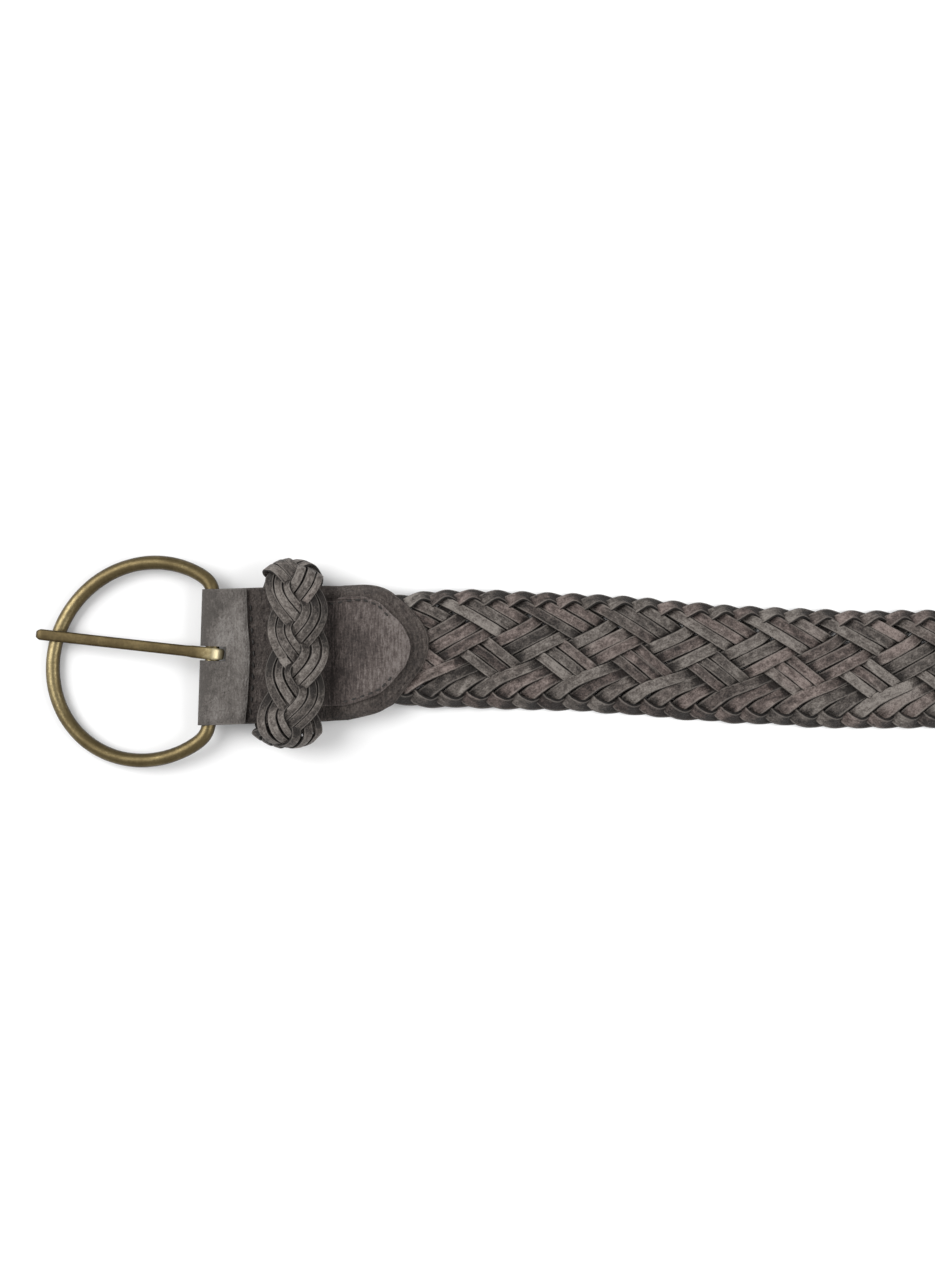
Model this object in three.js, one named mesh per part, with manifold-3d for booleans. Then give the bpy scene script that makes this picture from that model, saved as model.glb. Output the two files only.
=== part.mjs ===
// A braided leather belt with a round wire buckle, lying flat on its back.
// Millimetres, +Z up. The strap runs along +X from the buckle's bar.
// The origin ends up on the floor under the middle of the whole.
import * as THREE from "three";
import { mergeVertices } from "three/addons/utils/BufferGeometryUtils.js";
import Module from "manifold-3d";

const wasm = await Module();
wasm.setup();

// Overall sizes
const STRAP_LENGTH = 980; // from the buckle's bar to the end of the tip
const BRAID_WIDTH = 42.6;
const BRAID_THICKNESS = 4;
const BUMP_PITCH = 9.14; // one turned strip at the braid's edge
const BUMP_DEPTH = 0.9;

// Buckle
const WIRE_DIAMETER = 5;
const RING_LONG = 73; // across the wire's centre line, the longer way
const RING_SHORT = 67.8;
const RING_TURN = 54.7; // degrees from the strap's line to the longer way
const RING_CENTRE_TO_BAR = 23.2;
const RING_CENTRE_ASIDE = -2.4;
const RING_CORNER_SHARPNESS = 18;
const BAR_SKEW = 1.9; // degrees that the bar leans from square
const PRONG_WIDTH = 4.2;
const PRONG_THICKNESS = 2.4;
const PRONG_REACH = 63.6; // from the bar to the tip
const PRONG_SKEW = 4.4; // degrees
const PRONG_ASIDE = 1.27;
const PRONG_BEVEL = 0.5;
const PRONG_HEEL = 2.5; // the bar starts this far before the eye's axis
const EYE_WALL = 1.4;

// Leather tab at the buckle end
const TAB_WIDTH = 48.6;
const TAB_LENGTH = 77.8; // from the bar to the rounded end
const TAB_TURN = 1.8; // degrees that the tab leans in the plane
const STRIP_THICKNESS = 1.6;
const FLAP_END = 12.9; // upper edge of the fold, from the bar
const FLAP_FLAT = 8; // from here the flap lies flat on the cover
const SLOT_END = 5.2;
const SLOT_CORNER = 0.4;
const SLOT_ROOM = 0.5; // on each side of the prong
const COVER_THICKNESS = 1.5;
const COVER_START = 7.5;
const PATCH_THICKNESS = 1.3;
const PATCH_START = 34;
const PATCH_WIDTH = 37.9;
const POCKET_THICKNESS = 3; // of the braid pressed under the cover
const POCKET_WIDTH = 38;
const RAMP_LENGTH = 5; // of the cover's rise onto the braid
const RAMP_ROOM = 1.1; // between the keeper and the ramp
const FLANK = 4.4; // how wide the cover's edge slopes down

// Braided keeper
const KEEPER_WIDTH = 22.4;
const KEEPER_THICKNESS = 3.6;
const KEEPER_CENTRE = 28.6;
const KEEPER_ASIDE = 1.26;
const KEEPER_TURN = 2.4; // degrees
const KEEPER_SIDE_ROOM = 6.6; // beside the tab, on each side
const KEEPER_PASSAGE = 6.5; // above the patch, for the strap's free end
const KEEPER_BUMPS = 7; // on each edge, round the loop
const KEEPER_BUMP_DEPTH = 1.1;

// Tip
const TIP_LENGTH = 62;
const TIP_ROUND = 26; // solid end past the braid
const TIP_LEATHER = 1.5;
const TIP_EDGE = 2.2; // of leather beyond the braid on each side
const TIP_CORNER = 1.2;

// Clearances
const GAP = 0.3; // between pieces that lie on each other
const BAR_PLAY = 0.25;
const RELIEF_PLAY = 0.2;

// How finely the round forms are cut
const RING_STEPS = 76;
const WIRE_SIDES = 12;
const TURN_STEPS = 14; // round the fold and the prong's eye
const SHEET_STEPS = 18; // across a layer that is warped
const KEEPER_STEPS = 8; // along each straight run of the keeper
const BUMP_STEPS = 3; // along each bump of the braid's edge

// Levels and places that follow from the sizes
const WIRE_RADIUS = WIRE_DIAMETER / 2;
const FOLD_INNER = WIRE_RADIUS + BAR_PLAY;
const FOLD_OUTER = FOLD_INNER + STRIP_THICKNESS;
const TAB_LIFT = KEEPER_THICKNESS + GAP; // the tab rides over the keeper's lower run
const BAR_LIFT = 0.6 * TAB_LIFT;
const BAR_Z = BAR_LIFT + FOLD_OUTER;
const KEEPER_REACH = KEEPER_WIDTH / 2 + KEEPER_BUMP_DEPTH + TAB_WIDTH * Math.sin(rad(KEEPER_TURN)) / 2;
const KEEPER_LEFT = KEEPER_CENTRE - KEEPER_REACH;
const KEEPER_RIGHT = KEEPER_CENTRE + KEEPER_REACH;
const RAMP_START = KEEPER_RIGHT + RAMP_ROOM;
const POCKET_START = RAMP_START + RAMP_LENGTH; // the braid's end under the cover
const COVER_STEP = POCKET_THICKNESS + GAP;
const SETTLE_LENGTH = 65; // over which the tab comes down to the floor
const BRAID_SETTLE = 50;
const BRAID_LENGTH = STRAP_LENGTH - POCKET_START - TIP_ROUND;
const TIP_START = STRAP_LENGTH - TIP_LENGTH;
const TIP_HEIGHT = POCKET_THICKNESS + 2 * (GAP + TIP_LEATHER);
const CUT_HEIGHT = 6 * FOLD_OUTER + TAB_LIFT; // more than all that lies at the bar, for cuts right through
const CUT_BELOW = 1;

// The braid's gentle wander, as shares of the strap's length and the braid's width
const WANDER = [
  { along: 0.0, aside: 0.0 },
  { along: 0.044, aside: 0.026 },
  { along: 0.07, aside: 0.068 },
  { along: 0.091, aside: 0.074 },
  { along: 0.12, aside: 0.052 },
  { along: 0.149, aside: 0.026 },
  { along: 0.179, aside: -0.038 },
  { along: 0.208, aside: -0.076 },
  { along: 0.238, aside: -0.102 },
  { along: 0.265, aside: -0.098 },
  { along: 0.32, aside: -0.098 },
  { along: 1.0, aside: -0.098 },
];

// The cover's rounded end, as shares of the tab's length and width
const COVER_END = [
  { along: 0.62, aside: 0.486 },
  { along: 0.72, aside: 0.494 },
  { along: 0.782, aside: 0.475 },
  { along: 0.837, aside: 0.432 },
  { along: 0.895, aside: 0.355 },
  { along: 0.953, aside: 0.249 },
  { along: 0.989, aside: 0.15 },
  { along: 1.0, aside: 0.031 },
  { along: 0.97, aside: -0.115 },
  { along: 0.897, aside: -0.26 },
  { along: 0.839, aside: -0.376 },
  { along: 0.792, aside: -0.418 },
  { along: 0.736, aside: -0.452 },
  { along: 0.62, aside: -0.49 },
];

// The patch's rounded outline, as shares of the tab's length and width
const PATCH_EDGE = [
  { along: 0.6, aside: 0.4 },
  { along: 0.688, aside: 0.412 },
  { along: 0.739, aside: 0.395 },
  { along: 0.789, aside: 0.353 },
  { along: 0.832, aside: 0.277 },
  { along: 0.87, aside: 0.216 },
  { along: 0.9, aside: 0.133 },
  { along: 0.917, aside: 0.028 },
  { along: 0.896, aside: -0.093 },
  { along: 0.862, aside: -0.162 },
  { along: 0.809, aside: -0.253 },
  { along: 0.757, aside: -0.312 },
  { along: 0.654, aside: -0.366 },
  { along: 0.6, aside: -0.386 },
];

function rad(degrees) {
  return THREE.MathUtils.degToRad(degrees);
}

function smooth(value, low, high) {
  return THREE.MathUtils.smoothstep(value, low, high);
}

// Heights of the stack along the strap

function stripUnderside(x) {
  const rise = BAR_LIFT + (TAB_LIFT - BAR_LIFT) * smooth(x, 0, KEEPER_LEFT - GAP);
  return rise * (1 - smooth(x, KEEPER_RIGHT, KEEPER_RIGHT + SETTLE_LENGTH));
}

function braidUnderside(x) {
  const onStrip = (STRIP_THICKNESS + GAP) * (1 - smooth(x, TAB_LENGTH, TAB_LENGTH + BRAID_SETTLE));
  const onTip = (TIP_LEATHER + GAP) * smooth(x, TIP_START - BRAID_SETTLE, TIP_START);
  return stripUnderside(x) + onStrip + onTip;
}

function braidThickness(x) {
  const grown = smooth(x, TAB_LENGTH, TAB_LENGTH + 4 * BRAID_THICKNESS);
  const pressed = smooth(x, TIP_START - 4 * BRAID_THICKNESS, TIP_START);
  return POCKET_THICKNESS + (BRAID_THICKNESS - POCKET_THICKNESS) * (grown - pressed);
}

function coverUnderside(x, y) {
  const onStrip = stripUnderside(x) + STRIP_THICKNESS + GAP;
  const ramp = smooth(x, RAMP_START, POCKET_START - GAP);
  const flank = 1 - smooth(Math.abs(y), TAB_WIDTH / 2 - FLANK, TAB_WIDTH / 2);
  return onStrip + COVER_STEP * ramp * flank;
}

// Geometry helpers

function moved(geometry, move) {
  const place = geometry.attributes.position;
  const point = new THREE.Vector3();
  for (let i = 0; i < place.count; i++) {
    point.fromBufferAttribute(place, i);
    move(point);
    place.setXYZ(i, point.x, point.y, point.z);
  }
  return geometry;
}

function solidOf(geometry) {
  const bare = geometry.clone();
  bare.deleteAttribute("normal");
  bare.deleteAttribute("uv");
  const merged = mergeVertices(bare, 1e-3);
  return new wasm.Manifold(
    new wasm.Mesh({
      numProp: 3,
      vertProperties: merged.attributes.position.array,
      triVerts: new Uint32Array(merged.index.array),
    }),
  );
}

function geometryOf(solid) {
  const mesh = solid.getMesh();
  const geometry = new THREE.BufferGeometry();
  geometry.setAttribute("position", new THREE.BufferAttribute(new Float32Array(mesh.vertProperties), 3));
  geometry.setIndex(new THREE.BufferAttribute(mesh.triVerts, 1));
  geometry.computeVertexNormals();
  return geometry;
}

function piece(name, geometry, colour, roughness, metalness = 0) {
  const material = new THREE.MeshStandardMaterial({ color: colour, roughness, metalness });
  const mesh = new THREE.Mesh(geometry, material);
  mesh.name = name;
  return mesh;
}

function points(pairs) {
  return pairs.map(([x, y]) => new THREE.Vector2(x, y));
}

// A closed X-Z profile made solid across the strap, middle at y = 0
function acrossStrap(profile, width, steps) {
  const shape = new THREE.Shape(profile);
  const geometry = new THREE.ExtrudeGeometry(shape, { depth: width, steps, bevelEnabled: false });
  return geometry.rotateX(Math.PI / 2).translate(0, width / 2, 0);
}

// A plan outline made solid through the whole tab
function upright(shape) {
  const block = new THREE.ExtrudeGeometry(shape, { depth: CUT_HEIGHT, bevelEnabled: false });
  return block.translate(0, 0, -CUT_BELOW);
}

// A layer of even thickness, its underside given by a function of x
function layerProfile(stations, underside, thickness) {
  const lower = stations.map((x) => [x, underside(x)]);
  const upper = stations.map((x) => [x, underside(x) + thickness]).reverse();
  return points([...lower, ...upper]);
}

function between(low, high, count) {
  return Array.from({ length: count + 1 }, (_, i) => low + ((high - low) * i) / count);
}

// Buckle

function ringPoint(angle) {
  const turn = angle - rad(RING_TURN);
  const long = RING_LONG / 2;
  const short = RING_SHORT / 2;
  const oval = (long * short) / Math.hypot(short * Math.cos(turn), long * Math.sin(turn));
  const barSide = Math.cos(angle) > Number.EPSILON;
  const flat = barSide ? RING_CENTRE_TO_BAR / Math.cos(angle) : Infinity;
  const power = RING_CORNER_SHARPNESS;
  const reach = (oval ** -power + flat ** -power) ** (-1 / power);
  return new THREE.Vector3(
    reach * Math.cos(angle) - RING_CENTRE_TO_BAR,
    reach * Math.sin(angle) + RING_CENTRE_ASIDE,
    0,
  );
}

class RingCurve extends THREE.Curve {
  getPoint(share, target = new THREE.Vector3()) {
    return target.copy(ringPoint(2 * Math.PI * share));
  }
}

function buckleFrame() {
  return new THREE.TubeGeometry(new RingCurve(), RING_STEPS, WIRE_RADIUS, WIRE_SIDES, true);
}

function ringReach() {
  return Math.max(...between(0, 2 * Math.PI, 360).map((angle) => -ringPoint(angle).x));
}

function buckleSlope() {
  return -Math.asin((BAR_Z - WIRE_RADIUS) / ringReach());
}

function prongEye() {
  const eyeOuter = FOLD_INNER + EYE_WALL;
  const eye = new THREE.Shape().absarc(0, 0, eyeOuter, 0, 2 * Math.PI);
  eye.holes.push(new THREE.Path().absarc(0, 0, FOLD_INNER, 0, 2 * Math.PI));
  const sleeve = new THREE.ExtrudeGeometry(eye, {
    depth: PRONG_WIDTH,
    curveSegments: TURN_STEPS,
    bevelEnabled: false,
  });
  sleeve.rotateX(Math.PI / 2).translate(0, PRONG_ASIDE + PRONG_WIDTH / 2, 0);
  return sleeve;
}

function buckleProng() {
  const half = PRONG_WIDTH / 2 - PRONG_BEVEL;
  const tip = -PRONG_REACH + PRONG_BEVEL;
  const chamfer = PRONG_WIDTH / 4;
  const outline = new THREE.Shape(
    points([
      [-PRONG_HEEL, -half],
      [-PRONG_HEEL, half],
      [tip + chamfer, half],
      [tip, half - chamfer],
      [tip, chamfer - half],
      [tip + chamfer, -half],
    ]),
  );
  const bar = new THREE.ExtrudeGeometry(outline, {
    depth: PRONG_THICKNESS - 2 * PRONG_BEVEL,
    bevelThickness: PRONG_BEVEL,
    bevelSize: PRONG_BEVEL,
    bevelSegments: 2,
  });
  bar.translate(0, 0, WIRE_RADIUS + GAP + PRONG_BEVEL).rotateZ(rad(-PRONG_SKEW)).translate(0, PRONG_ASIDE, 0);
  return geometryOf(solidOf(bar).add(solidOf(prongEye())));
}

// Space that the bar's two bent ends sweep inside the fold
function barRelief() {
  const edge = TAB_WIDTH / 2 + WIRE_RADIUS;
  const apart = 1; // between the profile's points
  const step = rad(0.75);
  const profile = [];
  for (let angle = -Math.PI / 2; angle < Math.PI / 2; angle += step) {
    const here = ringPoint(angle);
    const ahead = ringPoint(angle + step / 10).sub(here).normalize();
    const inner = new THREE.Vector2(here.x - ahead.y * WIRE_RADIUS, here.y + ahead.x * WIRE_RADIUS);
    const last = profile.at(-1);
    const goesOn = !last || inner.y > last.y + apart;
    if (goesOn && Math.abs(inner.y) < edge) profile.push(new THREE.Vector2(RELIEF_PLAY - inner.x, inner.y));
  }
  const closed = [new THREE.Vector2(0, profile[0].y), ...profile, new THREE.Vector2(0, profile.at(-1).y)];
  return new THREE.LatheGeometry(closed, 2 * WIRE_SIDES);
}

// Leather tab

// An outline with a straight edge at start and a rounded end given by its table, in shares of the tab
function roundedEnd(rows, start, half) {
  const curve = new THREE.SplineCurve(
    rows.map((row) => new THREE.Vector2(row.along * TAB_LENGTH, row.aside * TAB_WIDTH)),
  );
  const round = curve.getPoints(2 * (rows.length - 1));
  const corners = points([
    [start, half],
    [start, -half],
  ]);
  return new THREE.Shape([corners[0], ...round, corners[1]].reverse());
}

function tabOutline(start) {
  return roundedEnd(COVER_END, start, TAB_WIDTH / 2);
}

function foldProfile() {
  const turns = between(Math.PI / 2, (3 * Math.PI) / 2, TURN_STEPS);
  const arc = (radius) => turns.map((turn) => [radius * Math.cos(turn), BAR_Z + radius * Math.sin(turn)]);
  const stations = [...between(3, KEEPER_LEFT, 4), ...between(KEEPER_RIGHT, TAB_LENGTH + 1, 6)];
  const under = stations.map((x) => [x, stripUnderside(x)]);
  const over = stations.map((x) => [x, stripUnderside(x) + STRIP_THICKNESS]).reverse();
  const flapUnder = stripUnderside(KEEPER_LEFT) + STRIP_THICKNESS + COVER_THICKNESS + 2 * GAP;
  const flap = [
    [FLAP_FLAT, flapUnder],
    [FLAP_END, flapUnder],
    [FLAP_END, flapUnder + STRIP_THICKNESS],
    [FLAP_FLAT, flapUnder + STRIP_THICKNESS],
  ];
  return points([...flap, ...arc(FOLD_OUTER), ...under, ...over, ...arc(FOLD_INNER).reverse()]);
}

function chapeFold() {
  const lean = Math.tan(rad(BAR_SKEW + TAB_TURN));
  const follow = (p) => {
    p.x += p.y * lean * (1 - smooth(p.x, 0, KEEPER_CENTRE));
  };
  const strip = solidOf(moved(acrossStrap(foldProfile(), TAB_WIDTH + 2, 1), follow));
  const outline = solidOf(upright(tabOutline(-2 * FOLD_OUTER)));
  const toTab = rad(-BAR_SKEW - TAB_TURN);
  const relief = solidOf(barRelief().rotateZ(toTab).translate(0, 0, BAR_Z));
  const slot = solidOf(upright(slotOutline()).rotateZ(toTab));
  return geometryOf(strip.intersect(outline).subtract(relief).subtract(slot));
}

function slotOutline() {
  const half = PRONG_WIDTH / 2 + SLOT_ROOM;
  const straight = SLOT_END - SLOT_CORNER;
  const blunt = half - SLOT_CORNER;
  return new THREE.Shape(
    points([
      [-2 * FOLD_OUTER, PRONG_ASIDE - half],
      [straight, PRONG_ASIDE - half],
      [SLOT_END, PRONG_ASIDE - blunt],
      [SLOT_END, PRONG_ASIDE + blunt],
      [straight, PRONG_ASIDE + half],
      [-2 * FOLD_OUTER, PRONG_ASIDE + half],
    ]),
  );
}

// A leather layer on the strip, warped over the braid's end and cut to its outline
function warpedLayer(outline, stations, thickness, above) {
  const flatSheet = acrossStrap(layerProfile(stations, () => 0, thickness), TAB_WIDTH + 2, SHEET_STEPS);
  const sheet = moved(flatSheet, (p) => {
    p.z += coverUnderside(p.x, p.y) + above;
  });
  return geometryOf(solidOf(sheet).intersect(solidOf(upright(outline))));
}

// Stations along the tab that follow the ramp onto the braid and its slope after it
function rampStations() {
  const past = POCKET_START + RAMP_LENGTH;
  return [...between(RAMP_START, POCKET_START, 3), ...between(past, TAB_LENGTH + 1, 4)];
}

function endCover() {
  const stations = [...between(COVER_START, KEEPER_LEFT, 2), KEEPER_RIGHT, ...rampStations()];
  return warpedLayer(tabOutline(0), stations, COVER_THICKNESS, 0);
}

function endPatch() {
  const half = PATCH_WIDTH / 2;
  const outline = roundedEnd(PATCH_EDGE, PATCH_START, half);
  return warpedLayer(outline, [PATCH_START - 1, ...rampStations()], PATCH_THICKNESS, COVER_THICKNESS + GAP);
}

// Braided keeper

function stadium(Kind, halfLength, halfHeight) {
  const straight = halfLength - halfHeight;
  const path = new Kind();
  path.absarc(straight, 0, halfHeight, -Math.PI / 2, Math.PI / 2);
  for (const x of between(straight, -straight, KEEPER_STEPS).slice(1, -1)) path.lineTo(x, halfHeight);
  path.absarc(-straight, 0, halfHeight, Math.PI / 2, (3 * Math.PI) / 2);
  for (const x of between(-straight, straight, KEEPER_STEPS).slice(1, -1)) path.lineTo(x, -halfHeight);
  return path;
}

function keeperLoop() {
  const stack = STRIP_THICKNESS + COVER_THICKNESS + PATCH_THICKNESS + 3 * GAP;
  const height = 2 * KEEPER_THICKNESS + GAP + stack + KEEPER_PASSAGE;
  const length = TAB_WIDTH + 2 * (KEEPER_SIDE_ROOM + KEEPER_THICKNESS);
  const bevel = KEEPER_THICKNESS / 4;
  const wall = KEEPER_THICKNESS - bevel;
  const ring = stadium(THREE.Shape, length / 2 - bevel, height / 2 - bevel);
  ring.holes.push(stadium(THREE.Path, length / 2 - wall, height / 2 - wall));
  const band = new THREE.ExtrudeGeometry(ring, {
    depth: KEEPER_WIDTH - 2 * bevel,
    curveSegments: KEEPER_STEPS + 2,
    bevelThickness: bevel,
    bevelSize: bevel,
    bevelSegments: 1,
  });
  band.translate(0, 0, bevel - KEEPER_WIDTH / 2);
  moved(band, (p) => {
    const round = Math.atan2(p.y / height, p.x / length);
    const shift = p.z > 0 ? 0 : Math.PI;
    p.z += KEEPER_BUMP_DEPTH * Math.cos(KEEPER_BUMPS * round + shift) * Math.sign(p.z);
  });
  band.applyMatrix4(
    new THREE.Matrix4().makeBasis(
      new THREE.Vector3(0, 1, 0),
      new THREE.Vector3(0, 0, 1),
      new THREE.Vector3(1, 0, 0),
    ),
  );
  return band.translate(0, 0, height / 2);
}

// Braid

const wanderCurve = new THREE.CubicInterpolant(
  WANDER.map((row) => row.along),
  WANDER.map((row) => row.aside),
  1,
);

function braidCentre(x) {
  return wanderCurve.evaluate(x / STRAP_LENGTH)[0] * BRAID_WIDTH;
}

function braidHalfWidth(x) {
  const leaves = smooth(x, POCKET_START + 2 * RAMP_LENGTH, TAB_LENGTH + RAMP_LENGTH);
  const enters = smooth(x, TIP_START - 2 * BRAID_THICKNESS, TIP_START);
  return (POCKET_WIDTH + (BRAID_WIDTH - POCKET_WIDTH) * (leaves - enters)) / 2;
}

function braidedStrap() {
  const bumps = Math.round(BRAID_LENGTH / BUMP_PITCH);
  const pitch = BRAID_LENGTH / bumps;
  const edge = 0.5; // the section reaches 1 unit each way before it is shaped
  const shoulder = 0.88;
  const section = points([
    [1, -edge],
    [1, edge],
    [shoulder, 1],
    [-shoulder, 1],
    [-1, edge],
    [-1, -edge],
    [-shoulder, -1],
    [shoulder, -1],
  ]);
  const bar = new THREE.ExtrudeGeometry(new THREE.Shape(section), {
    depth: BRAID_LENGTH,
    steps: BUMP_STEPS * bumps,
    bevelEnabled: false,
  });
  return moved(bar, (p) => {
    const x = POCKET_START + p.z;
    const side = Math.sign(p.x);
    const valley = side > 0 ? 0 : 1 / 3;
    const bump = Math.abs(Math.sin(Math.PI * (p.z / pitch - valley)));
    const across = p.x * (braidHalfWidth(x) - BUMP_DEPTH * (1 - bump));
    const up = braidUnderside(x) + (braidThickness(x) * (1 + p.y)) / 2;
    p.set(x, braidCentre(x) + across, up);
  });
}

// Tip: one leather sleeve with a rounded, closed end round the last of the braid

function tipOutline() {
  const half = POCKET_WIDTH / 2 + TIP_EDGE - TIP_CORNER;
  const start = TIP_CORNER;
  const end = TIP_LENGTH - TIP_CORNER;
  const shoulder = end - half;
  const shape = new THREE.Shape();
  shape.moveTo(start, -half);
  shape.lineTo(shoulder, -half);
  shape.bezierCurveTo(end - half / 4, -half, end, -half / 2, end, 0);
  shape.bezierCurveTo(end, half / 2, end - half / 4, half, shoulder, half);
  shape.lineTo(start, half);
  return shape;
}

function strapTip() {
  const body = new THREE.ExtrudeGeometry(tipOutline(), {
    depth: TIP_HEIGHT - 2 * TIP_CORNER,
    curveSegments: 8,
    bevelThickness: TIP_CORNER,
    bevelSize: TIP_CORNER,
    bevelSegments: 2,
  }).translate(0, 0, TIP_CORNER);
  const depth = TIP_LENGTH - TIP_ROUND + GAP;
  const pocket = new THREE.BoxGeometry(2 * depth, POCKET_WIDTH + 2 * GAP, POCKET_THICKNESS + 2 * GAP);
  pocket.translate(0, 0, TIP_HEIGHT / 2);
  return geometryOf(solidOf(body).subtract(solidOf(pocket)));
}

// Assembly

const BRASS = 0x8c7a4e;
const belt = new THREE.Group();

const hung = new THREE.Group();
hung.rotation.y = buckleSlope();
hung.add(piece("buckle_frame", buckleFrame(), BRASS, 0.35, 1));
hung.add(piece("buckle_prong", buckleProng(), BRASS, 0.35, 1));
const buckle = new THREE.Group();
buckle.position.z = BAR_Z;
buckle.rotation.z = rad(-BAR_SKEW);
buckle.add(hung);
belt.add(buckle);

const tab = new THREE.Group();
tab.rotation.z = rad(TAB_TURN);
tab.add(piece("chape_fold", chapeFold(), 0x6f6a66, 0.7));
tab.add(piece("end_cover", endCover(), 0x55504d, 0.65));
tab.add(piece("end_patch", endPatch(), 0x5a4f4b, 0.65));
belt.add(tab);

const keeper = piece("keeper_loop", keeperLoop(), 0x5b5450, 0.65);
keeper.position.set(KEEPER_CENTRE, KEEPER_ASIDE, 0);
keeper.rotation.z = rad(-KEEPER_TURN);
belt.add(keeper);

belt.add(piece("braided_strap", braidedStrap(), 0x5d5753, 0.65));

const tip = piece("strap_tip", strapTip(), 0x55504d, 0.65);
tip.position.set(TIP_START, braidCentre(TIP_START), 0);
belt.add(tip);

// The origin: on the floor, under the middle of the whole belt
const box = new THREE.Box3().setFromObject(belt, true);
const middle = box.getCenter(new THREE.Vector3());
belt.position.set(-middle.x, -middle.y, -box.min.z);

export default belt;
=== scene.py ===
import bisect
import math
import random
import bmesh
import bpy
from mathutils import Matrix, Vector


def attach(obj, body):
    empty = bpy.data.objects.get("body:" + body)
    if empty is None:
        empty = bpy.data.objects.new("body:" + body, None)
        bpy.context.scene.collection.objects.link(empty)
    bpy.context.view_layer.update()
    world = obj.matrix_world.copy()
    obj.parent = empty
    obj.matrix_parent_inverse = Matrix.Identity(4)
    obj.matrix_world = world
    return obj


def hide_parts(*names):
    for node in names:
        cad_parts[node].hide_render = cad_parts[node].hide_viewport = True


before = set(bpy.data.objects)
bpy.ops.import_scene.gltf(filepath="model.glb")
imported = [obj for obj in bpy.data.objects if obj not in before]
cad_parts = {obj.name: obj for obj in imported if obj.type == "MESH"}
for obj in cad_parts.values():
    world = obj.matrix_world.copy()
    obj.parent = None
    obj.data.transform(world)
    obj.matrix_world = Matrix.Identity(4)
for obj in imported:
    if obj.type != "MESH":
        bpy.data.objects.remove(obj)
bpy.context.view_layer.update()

# Sizes in millimetres, measured from the middle of the buckle's bar, as in the CAD model
BAR_IN_ROW = Vector((-458.286, 1.6249, 0.0))
STRAP_LENGTH = 980.0
BRAID_WIDTH = 42.6
BRAID_THICKNESS = 4.0
PRESSED_WIDTH = 38.0
PRESSED_THICKNESS = 3.0
TAB_LENGTH = 77.8
TAB_WIDTH = 48.6
TAB_TURN = math.radians(1.8)
BAR_SKEW = math.radians(1.9)
WIRE_RADIUS = 2.5
RING_LONG = 36.5
RING_SHORT = 33.9
RING_TURN = math.radians(54.7)
RING_CENTRE_TO_BAR = 23.2
RING_CENTRE_ASIDE = -2.4
RING_CORNER_SHARPNESS = 18
BUCKLE_SLOPE = math.radians(-4.1435)
BAR_Z = 6.69
BAR_LIFT = 2.34
TAB_LIFT = 3.9
STRIP_THICKNESS = 1.6
COVER_THICKNESS = 1.5
PATCH_THICKNESS = 1.3
COVER_START = 7.5
PATCH_START = 34.0
PATCH_TOP = 18.95
PATCH_BOTTOM = -18.76
FLAP_END = 12.9
FLAP_FLAT = 8.0
SLOT_END = 5.2
SLOT_HALF = 2.6
KEEPER_LEFT = 15.28
KEEPER_RIGHT = 41.918
RAMP_START = 40.5
RAMP_END = 50.0
BRAID_START = 50.5
TIP_START = 918.0
BRAID_END = 954.0
SETTLE_LENGTH = 65.0
BRAID_SETTLE = 50.0
COVER_STEP = 3.3
FLANK = 4.4
GAP = 0.3
FLOOR_CLEARANCE = 0.05
PRONG_SKEW = math.radians(4.4)
PRONG_ASIDE = 1.27
PRONG_REACH = 63.6
KEEPER_CENTRE = 28.6
KEEPER_ASIDE = 1.26
KEEPER_TURN = math.radians(2.4)
KEEPER_LENGTH = 69.0
KEEPER_HEIGHT = 19.3
KEEPER_WALL = 3.6


def smooth(value, low, high):
    share = min(max((value - low) / (high - low), 0.0), 1.0)
    return share * share * (3 - 2 * share)


def bell(distance, spread):
    return math.exp(-((distance / spread) ** 2))


def in_row(point):
    """A point in belt millimetres as metres in the row frame."""
    return (point + BAR_IN_ROW) / 1000


class Course:
    """A smooth line through (at, value) pairs that never overshoots them."""

    def __init__(self, pairs):
        self.at = [pair[0] for pair in pairs]
        self.value = [pair[1] for pair in pairs]
        rises = []
        for i in range(len(pairs) - 1):
            rises.append((self.value[i + 1] - self.value[i]) / (self.at[i + 1] - self.at[i]))
        self.slope = [0.0]
        for before, after in zip(rises, rises[1:]):
            same_way = before * after > 0
            self.slope.append(2 * before * after / (before + after) if same_way else 0.0)
        self.slope.append(0.0)

    def __call__(self, at):
        at = min(max(at, self.at[0]), self.at[-1])
        i = min(bisect.bisect_right(self.at, at), len(self.at) - 1) - 1
        width = self.at[i + 1] - self.at[i]
        t = (at - self.at[i]) / width
        start = (1 + 2 * t) * (1 - t) ** 2 * self.value[i] + t * (1 - t) ** 2 * width * self.slope[i]
        end = t * t * (3 - 2 * t) * self.value[i + 1] + t * t * (t - 1) * width * self.slope[i + 1]
        return start + end


# Heights of the stack along the strap, as in the CAD model


def strip_underside(x):
    rise = BAR_LIFT + (TAB_LIFT - BAR_LIFT) * smooth(x, 0, KEEPER_LEFT - GAP)
    return rise * (1 - smooth(x, KEEPER_RIGHT, KEEPER_RIGHT + SETTLE_LENGTH))


def braid_underside(x):
    on_strip = (STRIP_THICKNESS + GAP) * (1 - smooth(x, TAB_LENGTH, TAB_LENGTH + BRAID_SETTLE))
    on_tip = 1.8 * smooth(x, TIP_START - BRAID_SETTLE, TIP_START)
    return strip_underside(x) + on_strip + on_tip


def braid_thickness(x):
    grown = smooth(x, TAB_LENGTH, TAB_LENGTH + 16) - smooth(x, TIP_START - 16, TIP_START)
    return PRESSED_THICKNESS + (BRAID_THICKNESS - PRESSED_THICKNESS) * grown


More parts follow.
